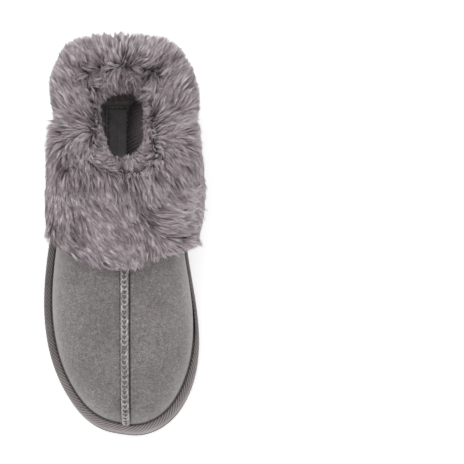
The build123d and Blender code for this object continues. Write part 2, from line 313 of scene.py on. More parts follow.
# The cuff's lower edge over the instep: x, and the height up the view from above, in mm.
HEM = [(-60, 18.0), (-50, 13.0), (-45, 10.0), (-38, 1.0), (-31, -4.0), (-20, -9.0), (-13, -14.0),
       (-7, -16.5), (1, -17.5), (9, -9.5), (16, -5.0), (26, -3.0), (41, -0.5), (48, 3.5), (54, 8.0),
       (60, 14.0)]
HEM_FRINGE = 6.0                        # how far the strands hang past their lowest roots
HEM_CORNERS = [(-48, 6, 44), (50, 2, 46)]  # where its strands are shorter and lie flatter
# Where tips that stick out past the hem's corners are clipped: side, least x, and a range of y.
CLIPPED = [(-1, 50.5, -9, 9), (1, 53.0, -11, 3)]
SEAM_NOTCH = (74.3, 3.5, 2.2)           # the side seam's y, its half width and its depth
# Where the fur is fuller: the place, the radius round it and by how much.
FULLER = [((-34, 112, 62), 30, 4.0), ((38, 112, 62), 30, 3.2), ((47, 88, 58), 28, 5.0),
          ((52, 34, 52), 50, 1.8), ((-44, 88, 58), 28, 3.2), ((-6, -26, 64), 18, 2.0)]
SIDE_SWELL, BACK_SWELL = 2.2, 5.0       # and on the front cuff's sides, and behind the heel


def ease(share):
    share = np.clip(share, 0, 1)
    return share * share * (3 - 2 * share)


def near(points, place, radius):
    """1 at a place, fading to 0 at a radius from it."""
    return ease(1 - np.linalg.norm(points - place, axis=1) / radius)


def up_view(points):
    """How high each point stands in the view of the camera, in mm."""
    return points[:, 1] * math.sin(ELEVATION) + points[:, 2] * math.cos(ELEVATION)


def collar_skin():
    """The CAD pile as one closed skin: joined, remeshed and smoothed, so that its edges are round."""
    verts, tris = node_arrays(PILES + CLOTHS)
    source = new_object("skin_source", mesh_from("skin_source", verts * MM, tris))
    remesh = source.modifiers.new("remesh", "REMESH")
    remesh.mode = "VOXEL"
    remesh.voxel_size = 1.8 * MM
    relax = source.modifiers.new("relax", "SMOOTH")
    relax.factor, relax.iterations = 0.6, 22
    depsgraph = bpy.context.evaluated_depsgraph_get()
    mesh = bpy.data.meshes.new_from_object(source.evaluated_get(depsgraph))
    bpy.data.objects.remove(source)
    return mesh


def relaxed(values, tris, rounds):
    """Values on vertices, averaged with their neighbours."""
    count = np.bincount(tris.ravel(), minlength=len(values)) * 2.0
    for _ in range(rounds):
        total = np.zeros_like(values)
        for i in range(3):
            np.add.at(total, tris[:, i], values[tris[:, (i + 1) % 3]] + values[tris[:, (i + 2) % 3]])
        values = (total.T / np.maximum(count, 1)).T
    return values


def exposure(verts, normals, tris):
    """1 where the skin looks outwards, 0 where it faces the suede or the lining close by."""
    upper = tree_of(VAMPS + QUARTERS + LININGS)
    open_air = np.ones(len(verts))
    for i, (p, n) in enumerate(zip(verts, normals)):
        hit = upper.ray_cast(Vector(p), Vector(n), 7.0)
        if hit[0] is not None:
            open_air[i] = 0.0
    return relaxed(open_air, tris, 3)


def inward(points, normals):
    """1 on the mouth's inner walls, 0 elsewhere."""
    out = points[:, :2] - MOUTH_MIDDLE
    facing = -(normals[:, :2] * unit(out)).sum(1)
    away = np.hypot(out[:, 0] / MOUTH_REACH[0], out[:, 1] / MOUTH_REACH[1])
    return ease((facing - 0.15) / 0.45) * ease((1.2 - away) / 0.25)


def reshaped(verts, normals, tris, weight):
    """The skin where the roots lie: sunk outside, swelling into the mouth, and cut at the hem."""
    inner = inward(verts, normals)
    out = verts[:, :2] - MOUTH_MIDDLE
    angle = np.degrees(np.arctan2(out[:, 1], out[:, 0])) % 360
    swell = np.interp(angle, *zip(*OVERHANG)) * ease((verts[:, 2] - 44) / 16)
    at, half, depth = SEAM_NOTCH
    notch = depth * ease(1 - np.abs(verts[:, 1] - at) / half) * ease((np.abs(verts[:, 0]) - 24) / 10)
    fuller = sum(amount * near(verts, place, radius) for place, radius, amount in FULLER)
    sides = SIDE_SWELL * ease((at - verts[:, 1]) / 12) * ease((np.abs(verts[:, 0]) - 24) / 12)
    sink = SINK + notch - fuller - sides - BACK_SWELL * ease((verts[:, 1] - 108) / 14)
    shift = inner * swell - (1 - inner) * sink * weight
    verts = verts + normals * shift[:, None]
    front = ease((60 - verts[:, 1]) / 20)
    low = np.interp(verts[:, 0], *zip(*HEM)) + HEM_FRINGE - up_view(verts)
    low = relaxed(front * np.maximum(low, 0), tris, 16)
    tilt = np.radians(np.interp(np.abs(verts[:, 0]), (34, 46), (20, 55)))
    back, rise = np.cos(tilt), np.sin(tilt)
    low = low / (back * math.sin(ELEVATION) + rise * math.cos(ELEVATION))
    verts = verts + np.column_stack([low * 0, low * back, low * rise])
    return relaxed(verts, tris, 4)


# ---------------------------------------------------------------- the fur's grooming
CREVICE = (13.5, 9.0, 77.0)             # where the fur of the front cuff's two halves parts
TUFT = (14.0, -20.0, 66.0)              # and where it comes together again
# Guides: where the fur grows, in mm in the row's frame, and the way it is combed there.
GUIDES = [
    # front cuff, lateral half: combed down over the instep and in towards the seam
    (-48, 44, 50, 0, -0.8, -0.9), (-48, 22, 46, 0.05, -0.8, -0.9), (-48, 6, 42, 0.15, -0.8, -0.7),
    (-38, 44, 68, 0.05, -1, -0.2), (-36, 22, 66, 0.2, -0.95, -0.2), (-38, 4, 56, 0.3, -0.9, -0.3),
    (-28, 48, 76, 0.1, -1, 0), (-27, 32, 76, 0.2, -0.95, 0), (-24, 16, 74, 0.5, -0.85, 0),
    (-14, 30, 80, 0.28, -0.95, 0), (-12, 14, 78, 0.55, -0.83, 0), (-28, 0, 66, 0.6, -0.8, 0),
    (-16, 0, 73, 0.65, -0.75, 0), (-24, -10, 64, 0.8, -0.55, 0), (-10, -12, 70, 0.8, -0.6, 0),
    (-36, -6, 52, 0.7, -0.6, -0.2), (-18, -18, 64, 0.95, -0.25, 0), (-6, -24, 66, 0.97, -0.1, 0),
    (-4, 42, 82, 0.1, -1, 0), (-2, 28, 81, 0.25, -0.95, 0), (2, 16, 79, 0.5, -0.85, 0),
    (4, 4, 75, 0.55, -0.8, 0), (6, -8, 71, 0.5, -0.85, 0), (5, -18, 68, 0.75, -0.6, 0),
    # front cuff, medial half: fanned out from the seam, and drawn to its lower end
    (13, 42, 82, -0.05, -1, 0), (9, 30, 80, -0.35, -0.95, 0), (18, 30, 80, 0.5, -0.85, 0),
    (9, 20, 79, -0.5, -0.85, 0),
    (24, 40, 78, 0.2, -1, 0), (24, 26, 76, 0.3, -0.9, 0), (34, 44, 72, 0.35, -0.9, 0),
    (20, 14, 76, 0.95, 0.25, 0), (30, 16, 72, 0.9, 0.4, 0), (38, 22, 66, 0.85, 0.4, 0),
    (38, 34, 68, 0.75, -0.3, 0), (22, 4, 73, 1, 0.02, 0), (33, 4, 66, 1, 0.02, 0),
    (42, 8, 58, 0.5, -0.2, -0.7), (14, 4, 75, 0.4, -0.7, 0), (24, -6, 68, 0.7, 0.35, 0),
    (34, -8, 60, 0.7, -0.5, -0.2), (17, -8, 70, -0.35, -0.8, 0), (20, -16, 66, -0.7, -0.65, 0),
    (28, -16, 60, 0.2, -0.7, 0), (13, -20, 67, -0.1, -1, 0), (12, -26, 66, -0.6, -0.5, 0),
    (38, -14, 52, 0.2, -0.8, -0.4), (48, 2, 42, 0.0, -0.6, -0.8), (49, 24, 46, 0.2, -0.3, -0.9),
    (49, 46, 50, 0.2, -0.4, -0.9), (45, -8, 46, -0.1, -0.8, -0.6), (-46, -4, 44, 0.3, -0.8, -0.5),
    # the sides and the heel: outwards over the roll, then down
    (-38, 66, 74, -0.8, 0.1, 0), (-46, 62, 52, -0.1, -0.2, -0.9), (-36, 82, 77, -0.35, 0.95, 0),
    (-28, 72, 79, -0.6, 0.6, 0), (-44, 84, 54, -0.15, 0.5, -0.7), (-34, 100, 76, -0.55, 0.8, 0),
    (-22, 112, 77, -0.5, 0.85, 0), (-6, 116, 77, -0.25, 0.97, 0), (9, 116, 77, 0.25, 0.97, 0),
    (24, 112, 77, 0.45, 0.9, 0), (36, 100, 76, 0.5, 0.8, 0), (42, 82, 75, 0.4, 0.9, 0),
    (40, 66, 74, 0.8, 0.1, 0), (50, 62, 52, 0.2, 0.1, -0.9), (48, 84, 54, 0.2, 0.5, -0.7),
    (0, 128, 52, 0, 0.25, -1), (-32, 116, 52, -0.3, 0.3, -1), (34, 116, 52, 0.3, 0.3, -1),
    (-24, 90, 79, -0.35, 0.9, 0), (30, 64, 79, 0.7, 0.3, 0), (29, 84, 79, -0.1, 1, 0),
    # inside the mouth
    (-14, 84, 62, -0.1, 0, 1), (16, 84, 62, 0.1, 0.1, 1), (-12, 60, 62, -0.1, 0, 1),
    (16, 60, 62, 0.1, -0.1, 1), (2, 44, 70, 0, 0.7, 0.7), (-10, 48, 68, 0.2, 0.6, 0.8),
    (14, 46, 68, -0.1, 0.6, 0.8), (2, 102, 66, 0, -0.7, -0.7), (-14, 98, 68, 0.3, -0.8, -0.5),
    (18, 98, 68, -0.3, -0.8, -0.5), (2, 90, 56, 0, -0.3, -1),
]


def combed(points, normals):
    """The grooming direction in the skin's own plane, and how well the guides agree on it."""
    guides = np.array(GUIDES, float)
    flow, total = np.zeros_like(points), np.zeros(len(points))
    for guide in guides:
        share = 1 / (np.linalg.norm(points - guide[:3], axis=1) + 3.0) ** 4
        flow += unit(guide[3:]) * share[:, None]
        total += share
    agreement = np.linalg.norm(flow, axis=1) / total
    flow = unit(flow)
    drawn = (near(points, TUFT, 18) * ease((points[:, 1] - TUFT[1] + 2) / 5))[:, None]
    flow = flow * (1 - drawn) + unit(np.array(TUFT) - points) * drawn
    across = unit(np.array(MOUTH_MIDDLE) - points[:, :2])
    into_mouth = unit(np.column_stack([across, np.full(len(points), 0.5)]))
    inner = inward(points, normals)[:, None]
    flow = flow * (1 - inner) + into_mouth * inner
    flow = flow - (flow * normals).sum(1, keepdims=True) * normals
    return unit(flow), agreement


def scattered(verts, normals, tris, weight, count):
    """Random points over the skin's exposed faces, with their normals."""
    a, b, c = verts[tris[:, 0]], verts[tris[:, 1]], verts[tris[:, 2]]
    area = np.linalg.norm(np.cross(b - a, c - a), axis=1) / 2
    share = area * (weight[tris].mean(1) > 0.55)
    pick = rng.choice(len(tris), count, p=share / share.sum())
    r1, r2 = np.sqrt(rng.random(count)), rng.random(count)
    bary = np.stack([1 - r1, r1 * (1 - r2), r1 * r2], axis=1)[:, :, None]
    points = (verts[tris[pick]] * bary).sum(1)
    return points, unit((normals[tris[pick]] * bary).sum(1))


def turned(flow, normals, angle):
    """Directions turned about the normals by an angle in radians."""
    side = np.cross(normals, flow)
    return unit(flow * np.cos(angle)[:, None] + side * np.sin(angle)[:, None])


SEGMENTS = 3                            # along a strand
TAPER = np.array([1.0, 0.95, 0.68, 0.0])  # its width from root to tip
RISES = (1.0, 0.5, 0.15)                # how much of its lift a strand keeps, segment by segment
SMALL_LOCK, LARGE_LOCK = 8, 150         # strands in a lock
# How firmly a lock draws its strands together, from root to tip.
SMALL_HOLD = np.array([0.0, 0.20, 0.54, 0.80])[None, :, None]
LARGE_HOLD = np.array([0.0, 0.04, 0.12, 0.20])[None, :, None]


def curves(roots, normals, flow, length, lift):
    """Strand centre lines that leave the skin steeply and bend over along the combed direction."""
    lines = [roots - normals * 1.2]
    for k in range(SEGMENTS):
        rise = np.radians(lift * RISES[k])[:, None]
        heading = flow * np.cos(rise) + normals * np.sin(rise)
        heading[:, 2] -= 0.06 * k
        lines.append(lines[-1] + unit(heading) * (length / SEGMENTS)[:, None])
    return np.stack(lines, axis=1)


def locks_of(roots, size):
    """Which lock each strand belongs to, and the strand that leads each lock."""
    leads = rng.choice(len(roots), max(1, len(roots) // size), replace=False)
    tree = KDTree(len(leads))
    for i, j in enumerate(leads):
        tree.insert(roots[j], i)
    tree.balance()
    return np.array([tree.find(p)[1] for p in roots]), leads


def groomed(roots, normals, flow, length, lift, mess):
    """Strand centre lines gathered into small locks that come to a point, and loosely into large ones."""
    count = len(roots)
    large, large_leads = locks_of(roots, LARGE_LOCK)
    small, small_leads = locks_of(roots, SMALL_LOCK)
    wave = rng.normal(0, 0.16, len(large_leads))[large] * (1 + 2.0 * mess)
    swing = rng.normal(0, 0.17, len(small_leads)) * (1 + 2.5 * mess[small_leads])
    flow = turned(flow, normals, wave)
    leads = small_leads
    lead_lines = curves(roots[leads], normals[leads], turned(flow[leads], normals[leads], swing),
                        length[leads] * rng.uniform(0.88, 1.12, len(leads)),
                        lift[leads] * rng.uniform(0.65, 1.25, len(leads)))
    own = turned(flow, normals, swing[small] * 0.6 + rng.normal(0, 0.12, count))
    lines = curves(roots, normals, own, length * rng.uniform(0.78, 1.08, count),
                   lift * rng.uniform(0.75, 1.25, count))
    drift = rng.normal(0, 0.22, (count, 1, 3))
    gathered = lines * (1 - SMALL_HOLD) + (lead_lines[small] + drift) * SMALL_HOLD
    middle = np.stack([np.bincount(large, gathered[:, k, i], len(large_leads))
                       for k in range(SEGMENTS + 1) for i in range(3)], axis=1)
    members = np.bincount(large, minlength=len(large_leads))
    middle = middle.reshape(-1, SEGMENTS + 1, 3) / members[:, None, None]
    return gathered * (1 - LARGE_HOLD) + middle[large] * LARGE_HOLD, small, large


def clipped(lines):
    """Strands shortened where they would stick out past the hem's corners."""
    tips = lines[:, -1]
    out = np.zeros(len(lines), bool)
    for side, least, front, rear in CLIPPED:
        out |= (tips[:, 0] * side > least) & (tips[:, 1] > front) & (tips[:, 1] < rear)
    lines[out] = lines[out, :1] + (lines[out] - lines[out, :1]) * 0.55
    return lines


def strand_uvs(shade):
    """Each strand in its shade's own column of the map, from its root below to its tip above."""
    count = len(shade)
    left, right = 0.15 / SHADES, 0.85 / SHADES
    middle = (left + right) / 2
    levels = 0.02 + 0.96 * np.arange(SEGMENTS + 1) / SEGMENTS
    quads = np.empty((count, (SEGMENTS - 1) * 3, 4, 2))
    for k in range(SEGMENTS - 1):
        low, high = levels[k], levels[k + 1]
        quads[:, k * 3:k * 3 + 3] = np.array([(left, low), (right, low), (right, high), (left, high)])
    ends = np.empty((count, 4, 3, 2))
    ends[:, :3] = np.array([(left, levels[-2]), (right, levels[-2]), (middle, 0.98)])
    ends[:, 3] = np.array([(left, 0.02), (right, 0.02), (middle, 0.03)])
    column = (np.floor(np.clip(shade, 0, 0.999) * SHADES) / SHADES)[:, None, None]
    quads[..., 0] += column
    ends[..., 0] += column
    return np.concatenate([quads.ravel(), ends.ravel()])


def strand_mesh(name, lines, width, shade):
    """One closed three-sided tapering tube for each centre line, with the shade in its UV map."""
    count = len(lines)
    ahead = unit(np.gradient(lines, axis=1))
    side = unit(np.cross(ahead, [[[0.31, 0.17, 0.93]]]))
    up = np.cross(side, ahead)
    spin = rng.uniform(0, 2 * math.pi, (count, 1))
    verts = np.empty((count, SEGMENTS * 3 + 1, 3))
    for j in range(3):
        angle = spin + j * 2 * math.pi / 3
        ring = side * np.cos(angle)[:, :, None] + up * np.sin(angle)[:, :, None]
        reach = width[:, None, None] * TAPER[None, :, None] / 2
        verts[:, j:SEGMENTS * 3:3] = (lines + ring * reach)[:, :SEGMENTS]
    verts[:, -1] = lines[:, -1]
    quads, tips = [], []
    for k in range(SEGMENTS - 1):
        for j in range(3):
            a, b = k * 3 + j, k * 3 + (j + 1) % 3
            quads.append((a, b, b + 3, a + 3))
    last = (SEGMENTS - 1) * 3
    for j in range(3):
        tips.append((last + j, last + (j + 1) % 3, SEGMENTS * 3))
    tips.append((2, 1, 0))
    base = (np.arange(count) * (SEGMENTS * 3 + 1))[:, None, None]
    quads = (np.array(quads)[None] + base).reshape(-1, 4)
    tips = (np.array(tips)[None] + base).reshape(-1, 3)

    mesh = bpy.data.meshes.new(name)
    mesh.vertices.add(verts.shape[0] * verts.shape[1])
    mesh.vertices.foreach_set("co", (verts * MM).ravel())
    mesh.loops.add(quads.size + tips.size)
    mesh.loops.foreach_set("vertex_index", np.concatenate([quads.ravel(), tips.ravel()]))
    starts = np.concatenate([np.arange(len(quads)) * 4, quads.size + np.arange(len(tips)) * 3])
    mesh.polygons.add(len(starts))
    mesh.polygons.foreach_set("loop_start", starts)
    mesh.polygons.foreach_set("use_smooth", np.ones(len(starts), bool))

    mesh.uv_layers.new(name="OFBake").data.foreach_set("uv", strand_uvs(shade))
    mesh.update(calc_edges=True)
    mesh.validate()
    return mesh


def patchy(points, scale, seed):
    """Smooth noise between 0 and 1 over points in mm."""
    shift = Vector((seed * 13.7, seed * 5.1, seed * 9.3))
    return np.array([noise.noise(Vector(p) * scale + shift) for p in points]) * 0.5 + 0.5


def region_of(roots):
    """Which CAD pile node each root belongs to."""
    found = [tree_of([name]) for name in PILES]
    distances = np.stack([[tree.find_nearest(Vector(p))[3] for p in roots] for tree in found])
    return distances.argmin(0)


STRANDS = 140000
HAIR_LENGTH, HAIR_LIFT, HAIR_TONE = 14.5, 36, 0.55  # mm, degrees from the skin, and a share of pale
HAIR_WIDTHS = (0.26, 0.48)
TRIANGLES = 6 * SEGMENTS - 2            # in one strand
MOST_TRIANGLES = 190000                 # in one piece


def make_undercoat():
    """The skin as a woolly piece of its own; gives its vertices, normals, triangles and exposure."""
    skin = collar_skin()
    verts, normals, tris = mesh_arrays(skin)
    weight = exposure(verts, normals, tris)
    skin.vertices.foreach_set("co", (reshaped(verts, normals, tris, weight) * MM).ravel())
    skin.update()
    verts, normals, tris = mesh_arrays(skin)
    normals = unit(relaxed(normals, tris, 4))
    skin.polygons.foreach_set("use_smooth", [True] * len(skin.polygons))
    add_piece("fur_undercoat", skin, undercoat_material(), PILES + CLOTHS)
    return verts, normals, tris, weight


def grown(roots, up):
    """The strands' centre lines, widths and shades, by where each of them grows; the shades hold painted
    light and shade.
    """
    inner = inward(roots, up)
    heel_side = ease(1.35 - np.hypot((roots[:, 0] - 1) / 26, (roots[:, 1] - 98) / 12))
    corners = sum(near(roots, place, 20) for place in HEM_CORNERS)
    mess = 0.9 * heel_side + 0.5 * near(roots, CREVICE, 11) + 0.25 * (patchy(roots, 0.05, 4) > 0.62)
    parting = near(roots, CREVICE, 15)
    behind = ease((roots[:, 1] - 104) / 12) * (1 - inner)
    length = HAIR_LENGTH - 4.0 * inner - 3.0 * corners - 7.0 * parting - 2.0 * behind
    length += 3.0 * (patchy(roots, 0.05, 1) - 0.5)
    flow, agreement = combed(roots, up)
    lift = HAIR_LIFT + 26 * (patchy(roots, 0.06, 2) - 0.5) + 36 * inner
    lift += 50 * (1 - agreement) * (1 - inner) - 26 * corners
    lines, small, large = groomed(roots, up, flow, length, lift, mess)
    lines = clipped(lines)
    tone = HAIR_TONE + rng.normal(0, 0.1, len(roots)) + 0.5 * (patchy(roots, 0.07, 3) - 0.5)
    tone += rng.normal(0, 0.25, small.max() + 1)[small] + rng.normal(0, 0.07, large.max() + 1)[large]
    # Painted light: strands behind the heel paler.
    tone += 0.12 * behind
    # Painted shade: darker inside the mouth, on the heel's inner wall and in the parting; darker round the
    # tuft too.
    tone -= 0.12 * inner + 0.26 * heel_side + 0.5 * parting + 0.25 * near(roots, TUFT, 7)
    return lines, rng.uniform(*HAIR_WIDTHS, len(roots)), tone


def make_fur():
    roots, up = scattered(*make_undercoat(), STRANDS)
    lines, width, tone = grown(roots, up)
    region = region_of(roots)
    fur = fur_material()
    for r, node in enumerate(PILES):
        chosen = np.flatnonzero(region == r)
        parts = math.ceil(len(chosen) * TRIANGLES / MOST_TRIANGLES)
        order = chosen[np.argsort(roots[chosen, 1])]
        for part, ids in enumerate(np.array_split(order, parts)):
            name = node.replace("pile", "fur") + (f"_{part + 1}" if parts > 1 else "")
            strands = strand_mesh(name, lines[ids], width[ids], tone[ids])
            add_piece(name, strands, fur, [node])


make_fur()


# ---------------------------------------------------------------- swept and gridded meshes
def grid_faces(rows, columns, rows_closed, columns_closed):
    """The quads of a grid of points, stored row by row, that may close either way."""
    i, j = np.meshgrid(np.arange(rows if rows_closed else rows - 1),
                       np.arange(columns if columns_closed else columns - 1), indexing="ij")
    right, below = (j + 1) % columns, (i + 1) % rows
    corners = (i * columns + j, i * columns + right, below * columns + right, below * columns + j)
    return np.stack(corners, axis=-1).reshape(-1, 4).tolist()


def swept(rings):
    """A closed solid through rings of points, with both ends capped."""
    rows, columns = rings.shape[:2]
    faces = grid_faces(rows, columns, False, True)
    faces.append(list(range(columns))[::-1])
    faces.append([(rows - 1) * columns + j for j in range(columns)])
    return rings.reshape(-1, 3), faces


def joined(name, parts):
    """One mesh from several (verts, faces) parts, in mm."""
    verts, faces, start = [], [], 0
    for points, polys in parts:
        verts.append(points)
        faces += [[v + start for v in poly] for poly in polys]
        start += len(points)
    mesh = mesh_from(name, np.vstack(verts) * MM, faces)
    tidy = bmesh.new()
    tidy.from_mesh(mesh)
    bmesh.ops.recalc_face_normals(tidy, faces=tidy.faces)
    tidy.to_mesh(mesh)
    tidy.free()
    return mesh


def along(points, pitch, closed=False):
    """Points respaced evenly along a polyline, as near to the pitch as fits."""
    if closed:
        points = np.vstack([points, points[:1]])
    gaps = np.linalg.norm(np.diff(points, axis=0), axis=1)
    at = np.concatenate([[0], np.cumsum(gaps)])
    count = max(2, round(at[-1] / pitch) + (0 if closed else 1))
    wanted = np.linspace(0, at[-1], count, endpoint=not closed)
    return np.stack([np.interp(wanted, at, points[:, i]) for i in range(points.shape[1])], axis=1)


def smoothed(points, rounds, closed=False):
    for _ in range(rounds):
        before, after = np.roll(points, 1, axis=0), np.roll(points, -1, axis=0)
        moved = (before + 2 * points + after) / 4
        if not closed:
            moved[0], moved[-1] = points[0], points[-1]
        points = moved
    return points


def thread(path, radius, sides=6):
    """A round thread along a path, thinner at both ends, as a closed solid."""
    ahead = unit(np.gradient(path, axis=0))
    side = unit(np.cross(ahead, (0.13, 0.21, 0.97)))
    up = np.cross(side, ahead)
    share = np.linspace(-1, 1, len(path))
    reach = radius * np.sqrt(np.maximum(1 - 0.82 * share ** 4, 0))
    turn = np.arange(sides) * 2 * math.pi / sides
    ring = side[:, None] * np.cos(turn)[None, :, None] + up[:, None] * np.sin(turn)[None, :, None]
    return swept(path[:, None] + ring * reach[:, None, None])


# ---------------------------------------------------------------- the braided centre seam
SEAM_X = sum(corner[0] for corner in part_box("vamp_seam_piping")) / 2 / MM
SEAM_ANGLES = (3.5, 131.0)              # of the rays that find it, from the toe upwards
# Cross-sections of the ridge and of the fold round it, whose dark colour is painted shade in the seam's
# grooves: out from the middle, and height.
SEAM_PROFILE = [(-2.85, -0.6), (-2.7, 0.4), (-2.2, 0.95), (-1.2, 1.2), (0, 1.1), (1.2, 1.2),
                (2.2, 0.95), (2.7, 0.4), (2.85, -0.6)]
FOLD_PROFILE = [(-3.2, -0.6), (-3.15, 0.1), (-2.8, 0.2), (2.9, 0.42), (3.85, 0.38), (4.0, -0.6)]
CHAIN_PITCH, CHAIN_RADIUS = 3.3, 0.6
# Half a chain stitch: out from the middle, along the seam, and height over the suede.
CHAIN_LEG = [(-0.3, 0.0, 1.45), (0.5, 0.2, 1.9), (1.3, 0.9, 1.95), (1.85, 1.9, 1.75),
             (1.9, 3.0, 1.5), (1.3, 4.0, 1.3), (0.5, 4.6, 1.15)]


def seam_line():
    """The centre seam's line over the suede, with the way up from it, by rays from outside."""
    suede = tree_of(VAMPS)
    middle = Vector((SEAM_X + 0.6, -60, 18))
    points = []
    for angle in np.radians(np.linspace(*SEAM_ANGLES, 160)):
        way = Vector((0, -math.cos(angle), math.sin(angle)))
        hit = suede.ray_cast(middle + way * 200, -way)[0]
        if hit is not None:
            points.append((SEAM_X, hit.y, hit.z))
    points = along(smoothed(along(np.array(points), 0.6), 12), 0.6)
    ahead = unit(np.gradient(points, axis=0))
    return points, np.stack([ahead[:, 0], -ahead[:, 2], ahead[:, 1]], axis=1)


def over_seam(line, ups, out, distance, height):
    """Points beside the seam: out from its middle, at a distance along it, and up from the suede."""
    at = np.arange(len(line)) * np.linalg.norm(line[1] - line[0])
    here = np.stack([np.interp(distance, at, line[:, i]) for i in range(3)], axis=-1)
    up = unit(np.stack([np.interp(distance, at, ups[:, i]) for i in range(3)], axis=-1))
    return here + up * np.asarray(height)[..., None] + np.array([1, 0, 0]) * np.asarray(out)[..., None]


def make_seam():
    line, ups = seam_line()
    length = (len(line) - 1) * np.linalg.norm(line[1] - line[0])
    steps = np.linspace(0, length, len(line))
    parts = {}
    for key, profile in (("fold", FOLD_PROFILE), ("ridge", SEAM_PROFILE)):
        out, height = np.array(profile).T
        rings = over_seam(line, ups, np.repeat(out[None], len(steps), 0),
                          np.repeat(steps[:, None], len(out), 1),
                          np.repeat(height[None], len(steps), 0))
        parts[key] = joined(key, [swept(rings)])
    out, ahead, height = np.array(CHAIN_LEG).T
    legs = []
    for i in range(int((length - 5) / CHAIN_PITCH)):
        for side in (-1, 1):
            wobble = rng.normal(0, 0.13, 3)
            raised = height + (0.12 if (i + side) % 2 else 0.0)
            path = over_seam(line, ups, side * out + wobble[0], i * CHAIN_PITCH + ahead + wobble[1], raised)
            legs.append(thread(along(path, 0.45), CHAIN_RADIUS + 0.5 * wobble[2]))
    # The fold's dark suede is painted shade in the grooves beside the ridge.
    add_piece("vamp_seam_fold_painted_shade", parts["fold"], suede_material("seam_fold_painted_shade", srgb(58, 53, 54),
              srgb(46, 42, 43), srgb(70, 65, 66)), ["vamp_seam_piping"])
    add_piece("vamp_seam_ridge", parts["ridge"], suede_material("seam_ridge_suede", srgb(134, 128, 129),
              srgb(108, 102, 103), srgb(150, 144, 145)), ["vamp_seam_piping"])
    add_piece("vamp_seam_chain", joined("chain", legs), thread_material(),
              ["vamp_seam_stitches"])


# ---------------------------------------------------------------- the ribbed sole band
RIB_PITCH, RIB_SLANT, RIB_HEIGHT = 3.0, -1.55, 0.3
STATION = 0.34                          # between the band's cross-sections
BAND_GAP = 1.1                          # left between the band and the suede
BAND_WIDTHS = (1.7, 5.2)                # its top's least and greatest width
BAND_FOOT, BAND_TOP = 4.7, 18.3
# The outsole's rounded rim under the band: out from its edge, and height.
RIM_PROFILE = [(-0.4, 0.3), (0.7, 0.4), (1.0, 1.0), (1.0, 3.7), (0.8, 4.4), (-0.4, 4.5)]


def outline_of(names, z, count=720):
    """The outside of some nodes at a height, by rays towards the middle from all round."""
    tree = tree_of(names)
    points = []
    for turn in np.arange(count) * 2 * math.pi / count:
        way = Vector((math.cos(turn), math.sin(turn), 0))
        hit = tree.ray_cast(Vector((0, 0, z)) + way * 250, -way)[0]
        points.append((hit.x, hit.y))
    return np.array(points)


def even_edge(names, z, pitch):
    """That outline, smoothed and evenly spaced."""
    return along(smoothed(along(outline_of(names, z), 1.0, True), 6, True), pitch, True)


def outwards(edge):
    """The way out of a closed, anticlockwise plan outline, at each of its points."""
    ahead = unit(np.roll(edge, -1, axis=0) - np.roll(edge, 1, axis=0))
    return np.stack([ahead[:, 1], -ahead[:, 0]], axis=1)


def moved_in(edge, inset):
    return edge - outwards(edge) * inset


def band_profile(width):
    """The band's outside as (inset, height), from its foot over its rounded top to its inner lip."""
    wall = [(0.0, z) for z in np.linspace(BAND_FOOT + 1.3, BAND_TOP - 2.2, 20)]
    corner = [(2.0 * (1 - math.cos(a)), BAND_TOP - 2.2 + 2.0 * math.sin(a))
              for a in np.linspace(0.15, math.pi / 2 - 0.1, 7)]
    crown = [(2.0 + (width - 2.6) * s, BAND_TOP - 0.2 + 0.2 * math.sin(math.pi * s))
             for s in np.linspace(0.0, 1.0, 9)]
    lip = [(width - 0.25, BAND_TOP - 0.5), (width, BAND_TOP - 1.15)]
    foot = [(0.95, BAND_FOOT), (0.35, BAND_FOOT + 0.3)]
    back = [(min(width, 3.1), BAND_TOP - 1.25), (min(width, 3.0), 11.0), (min(width, 2.8), BAND_FOOT)]
    return np.array(foot + wall + corner + crown + lip + back), len(back)


def make_band():
    """The band as a closed ring, with slanting ribs, that leaves a gap to the suede."""
    edge = even_edge(["sole_band"], 11.0, STATION)
    outward = outwards(edge)
    upper = tree_of(VAMPS + QUARTERS + LININGS)
    room = []
    for (x, y), n in zip(edge, outward):
        hit = upper.ray_cast(Vector((x + 6 * n[0], y + 6 * n[1], 19.5)), Vector((-n[0], -n[1], 0)), 40)
        room.append(hit[3] - 6 if hit[0] is not None else 6.0)
    room = smoothed(np.array(room)[:, None], 60, True)[:, 0]
    widths = np.clip(room - BAND_GAP, *BAND_WIDTHS)
    rings, ribs = [], []
    for i, (point, n, width) in enumerate(zip(edge, outward, widths)):
        profile, plain = band_profile(width)
        ways = unit(np.gradient(profile, axis=0))
        rise = np.concatenate([[0], np.cumsum(np.linalg.norm(np.diff(profile, axis=0), axis=1))])
        rib = RIB_HEIGHT * np.sin(2 * math.pi * (i * STATION + RIB_SLANT * rise) / RIB_PITCH)
        rib[-plain - 1:] = 0
        rib[:2] = 0
        profile = profile + np.stack([-ways[:, 1], ways[:, 0]], axis=1) * rib[:, None]
        flat = point - n * profile[:, :1]
        rings.append(np.column_stack([flat, profile[:, 1]]))
        ribs.append(0.5 + 0.5 * rib / RIB_HEIGHT)
    rings = np.array(rings)
    rows, columns = rings.shape[:2]
    mesh = joined("sole_band", [(rings.reshape(-1, 3), grid_faces(rows, columns, True, True))])
    mesh.attributes.new("rib", "FLOAT", "POINT").data.foreach_set("value", np.array(ribs).ravel())
    add_piece("ribbed_sole_band", mesh, band_material(), ["sole_band"])


def make_rim(rubber):
    """The outsole's rim, which shows as a dark line below the band."""
    edge = even_edge(["outsole"], 2.2, 1.0)
    rings = [[(*(point + n * out), z) for out, z in RIM_PROFILE]
             for point, n in zip(edge, outwards(edge))]
    rings = np.array(rings)
    faces = grid_faces(*rings.shape[:2], True, True)
    mesh = joined("outsole_rim", [(rings.reshape(-1, 3), faces)])
    add_piece("outsole_rim", mesh, rubber, [])


